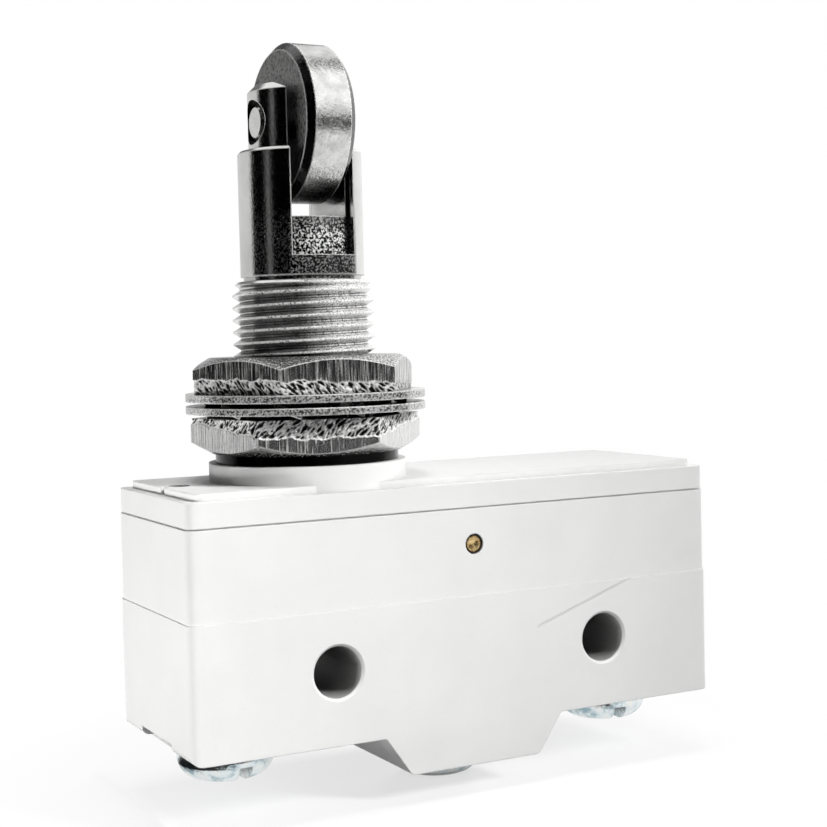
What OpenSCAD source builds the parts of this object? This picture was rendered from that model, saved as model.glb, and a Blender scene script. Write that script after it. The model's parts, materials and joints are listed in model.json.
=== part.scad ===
// Panel-mount roller-plunger micro switch.
// Millimetres. X runs along the case, Y through the side holes, Z up towards the roller.
// The origin is midway between the two side holes, at half the width of the case.

/* [Case] */
// Length of the case
body_len = 49.2; // [48:0.1:54]
// Width of the case
body_wid = 17.45; // [16.8:0.05:20]
// Distance from the middle of the side holes to the left end
body_left = 24.95; // [24.6:0.05:26]
// Depth of the case below the side holes' axis
case_below = 5.9; // [5.5:0.1:7]
// Height of the parting face above the side holes' axis
case_above = 12.15; // [11.9:0.05:13.2]
// Thickness of the outer walls
case_wall = 1.5; // [1.2:0.05:1.7]
// Height of the cavity's floor above the side holes' axis
cavity_floor = 4.1; // [3.6:0.1:4.3]
// Radius of the upright corners
corner_r = 1.1; // [0.6:0.1:1.4]
// Radius of the cavity's upright corners
cavity_r = 0.8; // [0.4:0.05:1]
// Radius of the lower corners, seen from the front
edge_r = 0.65; // [0.3:0.05:1]
// Height of the moulded step line above the side holes' axis
step_z = 4.9; // [3.5:0.1:7.5]
// Set-back of the walls above the step line
step_in = 0.08; // [0.05:0.01:0.2]
// Width of the moulded line that slants across the front
line_w = 0.15; // [0.1:0.05:0.3]
// Depth of that line
line_depth = 0.07; // [0.04:0.01:0.1]
// Place of that line's lower end along the case
line_low_x = 5.95; // [5:0.05:7]
// Height of that line's lower end above the side holes' axis
line_low_z = 1.65; // [1:0.05:2.5]
// Place where that line meets the step line
line_high_x = 15.6; // [14:0.1:17]

/* [Middle block] */
// Drop of the middle block below the case
block_drop = 3.3; // [2.5:0.1:4.5]
// Length of the middle block where it meets the case
block_top_len = 16.8; // [16:0.1:19]
// Length of the middle block at its foot
block_foot_len = 12.2; // [12:0.1:14]
// Radius where the middle block meets the case
block_r = 0.3; // [0.2:0.05:0.6]
// Middle of the block along the case
block_x = -0.2; // [-0.5:0.05:0.5]

/* [Side holes] */
// Distance between the two side holes
hole_pitch = 25.4; // [24:0.1:26]
// Diameter of the side holes
hole_d = 4.2; // [3.5:0.1:4.6]
// Chamfer at the mouths of the side holes
hole_chamfer = 0.2; // [0.1:0.05:0.4]

/* [Cover] */
// Height of the cover's outer edge
cover_edge_h = 2.1; // [1.6:0.1:3]
// Set-back of the cover's outer edge from the wall below it
cover_in = 0.06; // [0.04:0.01:0.2]
// Height of the seam groove between the case and the cover
seam_h = 0.12; // [0.06:0.02:0.3]
// Depth of the seam groove
seam_in = 0.2; // [0.1:0.05:0.4]
// Height of the raised top above the edge
plateau_h = 0.6; // [0.3:0.05:1]
// Distance from the edge of the cover to the raised top
plateau_in = 0.85; // [0.6:0.05:1.6]
// Radius of the raised top's upright corners
plateau_r = 0.8; // [0.4:0.05:1]
// Width of the notch in the left end of the raised top
notch_w = 0.8; // [0.5:0.05:1.2]
// Length of that notch
notch_len = 0.4; // [0.2:0.05:0.5]
// Place of that notch across the cover
notch_y = -0.5; // [-2:0.1:2]
// Diameter of the round boss under the bushing
boss_d = 16.45; // [16:0.05:17]
// Height of the boss above the raised top
boss_h = 1.5; // [1.2:0.05:3]
// Depth of the locating rim inside the case
rim_depth = 1.1; // [0.8:0.05:1.2]
// Thickness of the locating rim
rim_t = 1; // [0.7:0.05:1.4]
// Clearance of pieces that fit in moulded seats
fit_gap = 0.1; // [0.06:0.01:0.15]
// Diameter of the guide hub round the button
hub_d = 9; // [8:0.1:10]
// Depth of the guide hub below the parting face
hub_drop = 1; // [0.6:0.05:1.1]
// Length of each lug along the case
lug_len = 5; // [4:0.1:7]
// Thickness of each lug
lug_t = 1.5; // [1.2:0.05:2]
// Diameter of the moulding recess near the left end
gate_d = 1.8; // [1:0.1:2.2]
// Distance of the moulding recess from the left end
gate_in = 2.55; // [2.3:0.05:3]
// Depth of the moulding recess
gate_depth = 0.8; // [0.3:0.05:1.2]

/* [Cover pin] */
// Diameter of the brass pin that locks the cover
pin_d = 1.6; // [1.2:0.1:2]
// Height of the pin above the side holes' axis
pin_z = 9.2; // [9.15:0.05:9.6]
// Depth of the pin's ends below the faces of the case
pin_sink = 0.15; // [0.05:0.05:0.3]

/* [Bushing] */
// Bushing axis, measured from the middle of the side holes
axis_x = -11; // [-12:0.05:-10.5]
// Diameter of the spigot in the cover
spigot_d = 10.8; // [10.6:0.05:11.5]
// Length of the spigot
spigot_len = 3.3; // [3:0.1:3.5]
// Diameter of the flange on the boss
flange_d = 15.3; // [15:0.1:16]
// Thickness of the flange
flange_h = 0.8; // [0.6:0.05:1.2]
// Outside diameter of the thread
thread_d = 11.8; // [11.6:0.1:12.6]
// Length of the thread above the flange
thread_len = 14.1; // [13:0.1:18]
// Chamfer at the top of the thread
thread_chamfer = 0.5; // [0.3:0.05:0.8]
// Diameter of the relief groove between the thread and the sleeve
relief_d = 9.8; // [9.6:0.1:10.2]
// Height of the relief groove
relief_h = 0.4; // [0.3:0.05:0.8]
// Outside diameter of the guide sleeve
sleeve_d = 10.3; // [10.2:0.05:10.8]
// Length of the guide sleeve
sleeve_len = 10.3; // [10:0.05:12]
// Width of the slot that the roller dips into
slot_w = 5.5; // [5.4:0.05:6]
// Bevel on the sharp edges of turned pieces
edge_bevel = 0.2; // [0.1:0.05:0.3]
// Height of the stop shoulder above the flange
shoulder_rise = 7.5; // [7.2:0.1:8]

/* [Nuts and washers] */
// Width of the nuts across their flats
nut_af = 16.7; // [16:0.1:19]
// Thickness of the nuts
nut_h = 2.95; // [2.4:0.05:3.4]
// Slope of the nuts' chamfer
nut_slope = 30; // [20:1:35]
// Width of the flat ring left by the chamfer, across the nut
nut_face_d = 15.9; // [15:0.1:16.2]
// Turn of the upper nut
upper_turn = 54; // [0:0.1:60]
// Turn of the lower nut
lower_turn = 42.4; // [0:0.1:60]
// Clearance between the thread and the nuts
thread_gap = 0.06; // [0.03:0.01:0.15]
// Clearance between the thread and the washers
washer_gap = 0.12; // [0.08:0.01:0.3]
// Outside diameter of the washers
washer_d = 20; // [19:0.1:22]
// Thickness of the plain washer
washer_t = 0.65; // [0.5:0.05:0.8]
// Thickness of the toothed washer
toothed_t = 0.6; // [0.4:0.05:0.9]
// Diameter inside the toothed washer's rim, where its teeth begin
tooth_root_d = 16; // [15:0.1:17.5]
// Number of teeth
tooth_count = 10; // [8:1:12]
// Width of each tooth
tooth_w = 2.4; // [2:0.1:2.8]
// Depth of each tooth's end in the rim
tooth_bite = 0.4; // [0.2:0.05:0.6]
// Twist of each tooth
tooth_twist = 19.2; // [12:0.1:24]
// Turn of the toothed washer
tooth_turn = 20; // [0:0.5:36]

/* [Roller head] */
// Diameter of the roller
roller_d = 13.1; // [12:0.1:13.8]
// Width of the roller
roller_w = 4.3; // [4:0.05:4.5]
// Place of the roller along its axle, off the middle of the fork
roller_shift = 0.2; // [0:0.05:0.3]
// Chamfer on the roller's rims
roller_chamfer = 0.6; // [0.3:0.05:0.9]
// Diameter of the roller's axle
axle_d = 2.85; // [2.4:0.05:3.2]
// Running clearance round the axle
axle_gap = 0.05; // [0.03:0.01:0.08]
// Height of the axle above the guide sleeve
axle_rise = 2.3; // [2:0.05:3]
// Diameter of the plunger's rod
rod_d = 8.4; // [8.2:0.05:8.6]
// Running clearance round the rod
rod_gap = 0.05; // [0.03:0.01:0.08]
// Width of the fork's slot
fork_w = 5; // [4.9:0.05:5.3]
// Room below the roller in the fork
fork_room = 1.3; // [0.8:0.05:2]
// Height of the fork's ears above the axle
ear_rise = 3.05; // [2.6:0.05:3.6]
// Chamfer on the fork's ears
ear_chamfer = 0.55; // [0.2:0.05:0.7]
// Diameter of the spot face round each end of the axle
spot_d = 3.6; // [3.5:0.05:4]
// Depth of the spot faces
spot_depth = 0.55; // [0.4:0.05:0.7]

/* [Travel] */
// Full travel of the plunger
travel = 4.2; // [3.5:0.05:4.6]
// Room below the roller at full travel
slot_room = 0.25; // [0.2:0.05:0.6]
// Clearance of faces that meet at rest
touch_gap = 0.05; // [0.03:0.01:0.08]

/* [Plunger inside] */
// Diameter of the stop collar
collar_d = 9.3; // [9.2:0.05:9.5]
// Height of the stop collar
collar_h = 1.5; // [1:0.1:2]
// Length of the rolled-in end below the collar
lip_h = 0.9; // [0.6:0.05:1.2]
// Solid length of rod below the fork
rod_web = 2.2; // [1.5:0.1:3]
// Diameter of the pusher's head
pusher_head_d = 6.3; // [6:0.05:6.6]
// Height of the pusher's head
pusher_head_h = 1.5; // [1:0.1:2]
// Diameter of the pusher's stem
pusher_stem_d = 4.6; // [4:0.1:5]
// Running clearance round the pusher
pusher_gap = 0.1; // [0.05:0.01:0.15]

/* [Overtravel spring] */
// Outside diameter of the spring
spring_d = 5.9; // [5.4:0.05:6]
// Diameter of the spring's wire
wire_d = 0.7; // [0.5:0.05:0.8]
// Number of turns
spring_turns = 6; // [4:1:7]

/* [Button] */
// Diameter of the button's stem
button_d = 4; // [3:0.1:4.4]
// Height of the button above its guide
button_rise = 0.8; // [0.7:0.05:1.2]
// Diameter of the button's flange
button_flange_d = 6.4; // [6:0.1:7]
// Thickness of the button's flange
button_flange_h = 0.9; // [0.6:0.05:1]
// Diameter of the button's round tip
tip_d = 3; // [2.4:0.1:3]
// Room between the button and the blade at rest
blade_room = 0.45; // [0.43:0.01:0.6]

/* [Contacts] */
// Thickness of the terminal strips
strip_t = 0.8; // [0.6:0.05:0.9]
// Width of the terminal strips
strip_w = 7; // [6.4:0.1:8]
// Thickness of the snap blade
blade_t = 0.25; // [0.2:0.01:0.3]
// Width of the snap blade
blade_w = 6; // [5.4:0.1:6.4]
// Length of the blade and of the lower strip past the contacts
contact_over = 0.6; // [0.4:0.05:0.8]
// Length of solid blade between its window and the contacts
window_land = 1.7; // [1.4:0.1:2.2]
// Length of the blade's window
window_len = 17; // [14:0.1:18]
// Width of the blade's window
window_w = 3.6; // [3.4:0.1:4]
// Width of the blade's bowed tongue
tongue_w = 2.6; // [2:0.1:3]
// Gap at the free end of the tongue
tongue_gap = 0.3; // [0.2:0.05:0.5]
// Depth of the tongue's bow
tongue_bow = 1.2; // [0.8:0.05:1.4]
// Distance of the contacts from the right end of the case
contact_in = 8.55; // [8.05:0.05:9.55]
// Diameter of the contacts
contact_d = 3.4; // [2.8:0.1:4]
// Height of the moving contact above and below the blade
moving_h = 1; // [0.8:0.05:1.1]
// Height of the lower fixed contact
open_h = 1.25; // [1:0.05:1.4]
// Height of the upper fixed contact
closed_h = 0.9; // [0.7:0.05:0.95]
// Gap between the lower contacts at rest
contact_gap = 0.55; // [0.54:0.01:0.65]
// Diameter of the contacts' shanks
shank_d = 1.8; // [1.4:0.1:2]
// Diameter of the rivet that holds the blade
rivet_d = 1.6; // [1.2:0.1:2]
// Diameter of that rivet's head
rivet_head_d = 3; // [2.6:0.1:3.4]
// Height of that rivet's heads
rivet_head_h = 0.8; // [0.6:0.05:1]
// Room round that rivet in the blade
rivet_room = 0.12; // [0.1:0.01:0.2]
// Length of the common terminal's arm
common_arm = 4.95; // [4.8:0.05:5.2]

/* [Terminal screws] */
// Diameter of the screws' thread
screw_d = 3.9; // [3.4:0.1:4]
// Diameter of the screws' heads
head_d = 8; // [7.4:0.1:8.4]
// Height of the screws' heads
head_h = 2.4; // [2.2:0.1:3.2]
// Radius of the round on the screws' heads
head_round = 1.7; // [1.2:0.1:2]
// Length of the screws below their heads
screw_len = 7.2; // [6:0.1:7.8]
// Width of the driver slots
driver_w = 1.1; // [0.8:0.05:1.4]
// Length of the short driver slot
cross_len = 4.5; // [3.6:0.1:5]
// Depth of the driver slots
driver_depth = 1.3; // [0.8:0.05:1.5]
// Outside diameter of the spring washers
spring_washer_d = 7; // [6.6:0.1:7.6]
// Thickness of the spring washers
spring_washer_t = 0.8; // [0.7:0.05:1.1]
// Gap where the spring washers are split
split_gap = 0.5; // [0.3:0.05:0.8]
// Slant of that gap
split_slant = 30; // [0:1:40]
// Turn of the common terminal's screw
common_turn = 4; // [-90:1:90]
// Turn of the normally open terminal's screw
open_turn = 40; // [-90:1:90]
// Turn of the normally closed terminal's screw
closed_turn = -8; // [-90:1:90]
// Turn of the split in the common terminal's spring washer
common_split = -110; // [-180:1:180]
// Turn of the split in the normally open terminal's spring washer
open_split = -70; // [-180:1:180]
// Turn of the split in the normally closed terminal's spring washer
closed_split = -70; // [-180:1:180]
// Distance of the common terminal's screw from the left end of the case
common_in = 5.85; // [5.3:0.05:6.3]
// Distance of the normally open terminal's screw from the middle of the block
open_shift = 0.8; // [-0.5:0.05:1]
// Gap between the normally open terminal's screw head and the middle block
open_head_gap = 0.05; // [0.05:0.05:0.8]
// Distance of the normally closed terminal's screw from the right end of the case
closed_in = 5.9; // [5.4:0.05:6.3]
// Length of terminal strip beside a screw
pad_reach = 4.2; // [3.8:0.1:4.3]
// Distance of the outer strips' ends from the ends of the case
pad_in = 0.75; // [0.5:0.05:1]

/* [Hidden] */
$fn = 64;
// Overshoot of cuts past the faces they open
cut = 1;

// Plan of the case
x_left = -body_left;
x_right = body_len - body_left;
half_wid = body_wid / 2;
cavity_left = x_left + case_wall;
cavity_right = x_right - case_wall;

// Levels of the outer stack, from the foot up
z_case_foot = -case_below;
z_block_foot = z_case_foot - block_drop;
z_open_foot = z_block_foot + spring_washer_t - open_head_gap;
z_part = case_above;
z_edge = z_part + cover_edge_h;
z_plateau = z_edge + plateau_h;
z_boss = z_plateau + boss_h;
z_flange = z_boss + flange_h;
z_lower_nut = z_flange + nut_h;
toothed_h = tooth_w * sin(tooth_twist) + toothed_t * cos(tooth_twist);
z_toothed = z_lower_nut + toothed_h;
z_plain = z_toothed + washer_t;
z_thread = z_flange + thread_len;
z_sleeve = z_thread + relief_h;
z_sleeve_top = z_sleeve + sleeve_len;

// Levels of the roller head
z_axle = z_sleeve_top + axle_rise;
z_slot = z_axle - roller_d / 2 - travel - slot_room;
z_fork = z_axle - roller_d / 2 - fork_room;
z_ear = z_axle + ear_rise;
guide_bore = rod_d + 2 * rod_gap;
collar_bore = collar_d + 2 * rod_gap;
z_shoulder = z_flange + shoulder_rise;
z_collar = z_shoulder - touch_gap;
z_rod_foot = z_collar - collar_h - lip_h;
z_lip = z_rod_foot + lip_h;
z_rod_bore = z_fork - rod_web;
rod_bore = pusher_head_d + 2 * pusher_gap;
axle_hole_d = axle_d + 2 * axle_gap;
roller_x = axis_x + roller_shift;
spot_x = rod_d / 2 - spot_depth;

// Levels of the pusher, the spring and the button
z_web = z_boss - spigot_len;
z_hub = z_part - hub_drop;
z_button = z_web + button_rise;
z_pusher = z_button + touch_gap;
z_head = z_lip + touch_gap;
z_spring = z_head + pusher_head_h;
spring_len = z_rod_bore - z_spring;
z_button_flange = z_hub - touch_gap;

// Levels of the contacts, from the cavity's floor up
z_open_arm = cavity_floor + strip_t;
z_open_face = z_open_arm + open_h;
z_moving = z_open_face + contact_gap;
z_blade = z_moving + moving_h;
z_blade_top = z_blade + blade_t;
z_moving_top = z_blade_top + moving_h;
z_closed_face = z_moving_top + touch_gap;
z_closed_arm = z_closed_face + closed_h;
z_closed_top = z_closed_arm + strip_t;
z_tip = z_blade_top + blade_room;

// Places of the terminals and contacts along the case
common_x = x_left + common_in;
open_x = block_x + open_shift;
closed_x = x_right - closed_in;
contact_x = x_right - contact_in;
common_riser = cavity_left + fit_gap;
blade_hinge_x = common_riser + common_arm;
rivet_x = common_riser + common_arm / 2 + strip_t / 2;
closed_riser = cavity_right - fit_gap - strip_t;
open_riser = open_x + screw_d / 2 + strip_t;
blade_end = contact_x + contact_d / 2 + contact_over;
window_right = contact_x - contact_d / 2 - window_land;
window_left = window_right - window_len;

// Colours
grey_mould = [0.86, 0.86, 0.85];
nickel = [0.78, 0.78, 0.76];
steel = [0.62, 0.62, 0.61];
zinc = [0.72, 0.78, 0.80];
brass = [0.80, 0.62, 0.30];
silver = [0.90, 0.90, 0.88];
copper_alloy = [0.78, 0.56, 0.36];
dark_mould = [0.25, 0.12, 0.10];

// Corner at p between its neighbours a and b, rounded by radius r
function rounded_corner(a, p, b, r, steps = 6) =
    let (
        u = (a - p) / norm(a - p),
        v = (b - p) / norm(b - p),
        half = acos(u * v) / 2,
        centre = p + (u + v) / norm(u + v) * r / sin(half),
        start = p + u * r / tan(half) - centre,
        stop = p + v * r / tan(half) - centre,
        from = atan2(start.y, start.x),
        spin = atan2(stop.y, stop.x) - from,
        turn = spin - 360 * round(spin / 360)
    )
    [for (i = [0:steps]) centre + r * [cos(from + turn * i / steps), sin(from + turn * i / steps)]];

// Outline with every corner rounded by its own radius, where 0 keeps it sharp
function rounded_outline(points, radii) =
    let (n = len(points))
    [
        for (i = [0:n - 1])
            each radii[i] == 0
                ? [points[i]]
                : rounded_corner(points[(i + n - 1) % n], points[i], points[(i + 1) % n], radii[i])
    ];

// Height along the spring's wire: closed end turns, even pitch between them
function wire_z(turn) =
    turn < 1 ? wire_d * (0.5 + turn)
    : turn > spring_turns - 1 ? spring_len - wire_d * (0.5 + spring_turns - turn)
    : wire_d * 1.5 + (turn - 1) * (spring_len - 3 * wire_d) / (spring_turns - 2);

// Rectangle in plan with round corners, from x0 to x1 and to either side of X
module round_plan(x0, x1, half, r) {
    translate([x0 + r, -half])
        square([x1 - x0 - 2 * r, 2 * half]);
    translate([x0, -half + r])
        square([x1 - x0, 2 * half - 2 * r]);
    for (x = [x0 + r, x1 - r], y = [-half + r, half - r])
        translate([x, y])
            circle(r = r);
}

// Slab of the case's plan between two heights, set in from the outer walls
module body_slab(inset, r, low, high) {
    translate([0, 0, low])
        linear_extrude(high - low)
            round_plan(x_left + inset, x_right - inset, half_wid - inset, r);
}

// Block between two corners, centred on Y
module strip(x0, x1, wide, low, high) {
    translate([x0, -wide / 2, low])
        cube([x1 - x0, wide, high - low]);
}

// Round bar along Z on a place along X
module post(x, d, low, high) {
    translate([x, 0, low])
        cylinder(d = d, h = high - low);
}

// Round bar along Y, centred on Y
module cross_bar(x, z, d, len) {
    translate([x, 0, z])
        rotate([90, 0, 0])
            cylinder(d = d, h = len, center = true);
}

// Outline of the case from the front, with the middle block
module case_front() {
    foot_left = block_x - block_foot_len / 2;
    foot_right = block_x + block_foot_len / 2;
    top_left = block_x - block_top_len / 2;
    top_right = block_x + block_top_len / 2;
    polygon(rounded_outline(
        [
            [x_left, z_part], [x_left, z_case_foot], [top_left, z_case_foot], [foot_left, z_block_foot],
            [foot_right, z_block_foot], [top_right, z_case_foot], [x_right, z_case_foot], [x_right, z_part]
        ],
        [0, edge_r, block_r, edge_r, edge_r, block_r, edge_r, 0]
    ));
}

// Shallow line across the front of the case, up to the step line
module front_line() {
    run = [line_high_x - line_low_x, step_z - line_low_z];
    translate([line_low_x, -half_wid + line_depth, line_low_z])
        rotate([0, -atan2(run.y, run.x), 0])
            translate([0, -cut, -line_w / 2])
                cube([norm(run), cut, line_w]);
}

// Pocket for one terminal: the strip's pad, its riser, the screw and its spring washer
module terminal_pocket(x0, x1, screw_x, riser_x, foot) {
    wide = strip_w + 2 * fit_gap;
    strip(x0, x1, wide, foot - cut, foot + strip_t);
    strip(riser_x - fit_gap, riser_x + strip_t + fit_gap, wide, foot, cavity_floor + cut);
    post(screw_x, screw_d + 2 * fit_gap, foot, foot + screw_len - spring_washer_t + fit_gap);
    post(screw_x, spring_washer_d + 2 * fit_gap, foot - cut, foot);
}

module case() {
    pad_room = pad_reach + fit_gap;
    riser_room = strip_t + fit_gap;
    color(grey_mould)
        difference() {
            intersection() {
                union() {
                    body_slab(0, corner_r, z_block_foot, step_z);
                    body_slab(step_in, corner_r, step_z, z_part);
                }
                rotate([90, 0, 0])
                    linear_extrude(body_wid + cut, center = true)
                        case_front();
            }
            body_slab(case_wall, cavity_r, cavity_floor, z_part + cut);
            for (x = [-hole_pitch / 2, hole_pitch / 2]) {
                cross_bar(x, 0, hole_d, body_wid + cut);
                for (side = [-1, 1])
                    translate([x, side * half_wid, 0])
                        rotate([90 * side, 0, 0])
                            cylinder(d1 = hole_d + 2 * hole_chamfer, d2 = hole_d, h = hole_chamfer);
            }
            cross_bar(0, pin_z, pin_d + 2 * touch_gap, body_wid + cut);
            front_line();
            terminal_pocket(x_left - cut, common_x + pad_room, common_x, common_riser, z_case_foot);
            terminal_pocket(open_x - pad_room, open_riser + riser_room, open_x, open_riser, z_open_foot);
            terminal_pocket(closed_x - pad_room, x_right + cut, closed_x, closed_riser, z_case_foot);
        }
}

module cover() {
    edge_in = step_in + cover_in;
    top_in = edge_in + plateau_in;
    rim_in = case_wall + fit_gap;
    z_rim = z_part - rim_depth;
    lug_foot = pin_z - pin_d;
    color(grey_mould)
        difference() {
            union() {
                body_slab(edge_in + seam_in, corner_r, z_part, z_edge);
                body_slab(edge_in, corner_r, z_part + seam_h, z_edge);
                body_slab(top_in, plateau_r, z_part, z_plateau);
                post(axis_x, boss_d, z_part, z_boss);
                post(axis_x, hub_d, z_hub, z_part);
                difference() {
                    body_slab(rim_in, cavity_r, z_rim, z_part);
                    body_slab(rim_in + rim_t, cavity_r, z_rim - cut, z_part);
                }
                for (side = [-1, 1])
                    translate([0, side * (half_wid - rim_in - lug_t / 2), (lug_foot + z_part) / 2])
                        cube([lug_len, lug_t, z_part - lug_foot], center = true);
            }
            post(axis_x, spigot_d + 2 * touch_gap, z_web, z_boss + cut);
            post(axis_x, button_d + 2 * touch_gap, z_hub - cut, z_web + cut);
            cross_bar(0, pin_z, pin_d + 2 * touch_gap, body_wid);
            post(x_left + gate_in, gate_d, z_plateau - gate_depth, z_plateau + cut);
            translate([x_left + top_in - cut, notch_y - notch_w / 2, z_edge])
                cube([cut + notch_len, notch_w, plateau_h + cut]);
        }
}

module cover_pin() {
    color(brass)
        cross_bar(0, pin_z, pin_d, body_wid - 2 * step_in - 2 * pin_sink);
}

// Section of the bushing, from its axis outwards
module bushing_section() {
    polygon([
        [0, z_web], [spigot_d / 2, z_web], [spigot_d / 2, z_boss], [flange_d / 2, z_boss],
        [flange_d / 2, z_flange], [thread_d / 2, z_flange], [thread_d / 2, z_thread - thread_chamfer],
        [thread_d / 2 - thread_chamfer, z_thread], [relief_d / 2, z_thread], [relief_d / 2, z_sleeve],
        [sleeve_d / 2, z_sleeve], [sleeve_d / 2, z_sleeve_top - edge_bevel],
        [sleeve_d / 2 - edge_bevel, z_sleeve_top], [0, z_sleeve_top]
    ]);
}

module bushing() {
    color(nickel)
        difference() {
            translate([axis_x, 0, 0])
                rotate_extrude()
                    bushing_section();
            post(axis_x, guide_bore, z_web - cut, z_sleeve_top + cut);
            post(axis_x, collar_bore, z_web - cut, z_shoulder);
            strip(axis_x - slot_w / 2, axis_x + slot_w / 2, sleeve_d + cut, z_slot, z_sleeve_top + cut);
        }
}

// Thin hexagon nut standing on Z = 0, chamfered on its upper side
module nut() {
    corner_radius = nut_af / 2 / cos(30) + touch_gap;
    chamfer_drop = (corner_radius - nut_face_d / 2) * tan(nut_slope);
    difference() {
        intersection() {
            cylinder(d = nut_af / cos(30), h = nut_h, $fn = 6);
            rotate_extrude()
                polygon([
                    [0, 0], [corner_radius, 0], [corner_radius, nut_h - chamfer_drop],
                    [nut_face_d / 2, nut_h], [0, nut_h]
                ]);
        }
        translate([0, 0, -cut])
            cylinder(d = thread_d + 2 * thread_gap, h = nut_h + 2 * cut);
    }
}

module lower_nut() {
    color(nickel)
        translate([axis_x, 0, z_lower_nut])
            rotate([180, 0, lower_turn])
                nut();
}

module upper_nut() {
    color(nickel)
        translate([axis_x, 0, z_plain])
            rotate([0, 0, upper_turn])
                nut();
}

module plain_washer() {
    color(nickel)
        difference() {
            post(axis_x, washer_d, z_toothed, z_plain);
            post(axis_x, thread_d + 2 * washer_gap, z_toothed - cut, z_plain + cut);
        }
}

// Lock washer: the corners of its twisted inner teeth bite the nut and the plain washer
module toothed_washer() {
    z_mid = z_lower_nut + toothed_h / 2;
    tooth_in = thread_d / 2;
    tooth_out = tooth_root_d / 2 + tooth_bite;
    color(nickel)
        difference() {
            union() {
                difference() {
                    post(axis_x, washer_d, z_mid - toothed_t / 2, z_mid + toothed_t / 2);
                    post(axis_x, tooth_root_d, z_lower_nut, z_toothed);
                }
                for (i = [0:tooth_count - 1])
                    translate([axis_x, 0, z_mid])
                        rotate([-tooth_twist, 0, tooth_turn + 360 * i / tooth_count])
                            translate([tooth_in, -tooth_w / 2, -toothed_t / 2])
                                cube([tooth_out - tooth_in, tooth_w, toothed_t]);
            }
            post(axis_x, thread_d + 2 * washer_gap, z_lower_nut - cut, z_toothed + cut);
        }
}

// Section of the plunger's rod, from its axis outwards
module rod_section() {
    polygon([
        [0, z_rod_foot], [rod_d / 2, z_rod_foot], [rod_d / 2, z_lip], [collar_d / 2, z_lip],
        [collar_d / 2, z_collar], [rod_d / 2, z_collar], [rod_d / 2, z_ear - ear_chamfer],
        [rod_d / 2 - ear_chamfer, z_ear], [0, z_ear]
    ]);
}

module roller_plunger() {
    mouth = fork_w / 2 + ear_chamfer;
    color(nickel)
        difference() {
            translate([axis_x, 0, 0])
                rotate_extrude()
                    rod_section();
            strip(axis_x - fork_w / 2, axis_x + fork_w / 2, rod_d + cut, z_fork, z_ear + cut);
            translate([axis_x, 0, z_ear])
                rotate([90, 0, 0])
                    linear_extrude(rod_d + cut, center = true)
                        polygon([[-mouth, 0], [0, -mouth], [mouth, 0], [mouth, cut], [-mouth, cut]]);
            translate([axis_x, 0, z_axle])
                rotate([0, 90, 0])
                    cylinder(d = axle_d + touch_gap, h = rod_d + cut, center = true);
            for (side = [0, 180])
                translate([axis_x, 0, z_axle])
                    rotate([0, 90, side])
                        translate([0, 0, spot_x])
                            cylinder(d = spot_d, h = rod_d);
            post(axis_x, rod_bore, z_lip, z_rod_bore);
            post(axis_x, pusher_stem_d + 2 * pusher_gap, z_rod_foot - cut, z_lip + cut);
        }
}

// Section of the roller about its axle, one half
module roller_section() {
    half = roller_w / 2;
    hole_r = axle_hole_d / 2;
    tread_r = roller_d / 2;
    polygon([
        [hole_r, -half], [tread_r - roller_chamfer, -half], [tread_r, -half + roller_chamfer],
        [tread_r, half - roller_chamfer], [tread_r - roller_chamfer, half], [hole_r, half]
    ]);
}

module roller() {
    color(steel)
        translate([roller_x, 0, z_axle])
            rotate([0, 90, 0])
                rotate_extrude()
                    roller_section();
}

module roller_axle() {
    half = spot_x + spot_depth / 2;
    color(steel)
        translate([axis_x, 0, z_axle])
            rotate([0, 90, 0])
                rotate_extrude()
                    polygon([
                        [0, -half], [axle_d / 2 - edge_bevel, -half], [axle_d / 2, -half + edge_bevel],
                        [axle_d / 2, half - edge_bevel], [axle_d / 2 - edge_bevel, half], [0, half]
                    ]);
}

module pusher() {
    color(steel)
        translate([axis_x, 0, 0])
            rotate_extrude()
                polygon([
                    [0, z_pusher], [pusher_stem_d / 2 - edge_bevel, z_pusher],
                    [pusher_stem_d / 2, z_pusher + edge_bevel], [pusher_stem_d / 2, z_head],
                    [pusher_head_d / 2, z_head], [pusher_head_d / 2, z_spring], [0, z_spring]
                ]);
}

module overtravel_spring() {
    ring_steps = 16;
    sides = 8;
    rings = ring_steps * spring_turns;
    coil_r = (spring_d - wire_d) / 2;
    points = [
        for (i = [0:rings], k = [0:sides - 1])
            let (
                turn = i / ring_steps,
                out = coil_r + wire_d / 2 * cos(360 * k / sides),
                rise = wire_d / 2 * sin(360 * k / sides)
            )
            [out * cos(360 * turn), out * sin(360 * turn), wire_z(turn) + rise]
    ];
    skin = [
        for (i = [0:rings - 1], k = [0:sides - 1])
            let (
                here = i * sides,
                next = (k + 1) % sides
            )
            [here + k, here + next, here + sides + next, here + sides + k]
    ];
    first = [for (k = [0:sides - 1]) sides - 1 - k];
    last = [for (k = [0:sides - 1]) rings * sides + k];
    color(steel)
        translate([axis_x, 0, z_spring])
            polyhedron(points, concat(skin, [first, last]), convexity = 8);
}

module button() {
    tip_r = tip_d / 2;
    color(dark_mould) {
        post(axis_x, button_d, z_button_flange - button_flange_h, z_button);
        post(axis_x, button_flange_d, z_button_flange - button_flange_h, z_button_flange);
        post(axis_x, tip_d, z_tip + tip_r, z_button_flange);
        translate([axis_x, 0, z_tip + tip_r])
            sphere(r = tip_r);
    }
}

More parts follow.
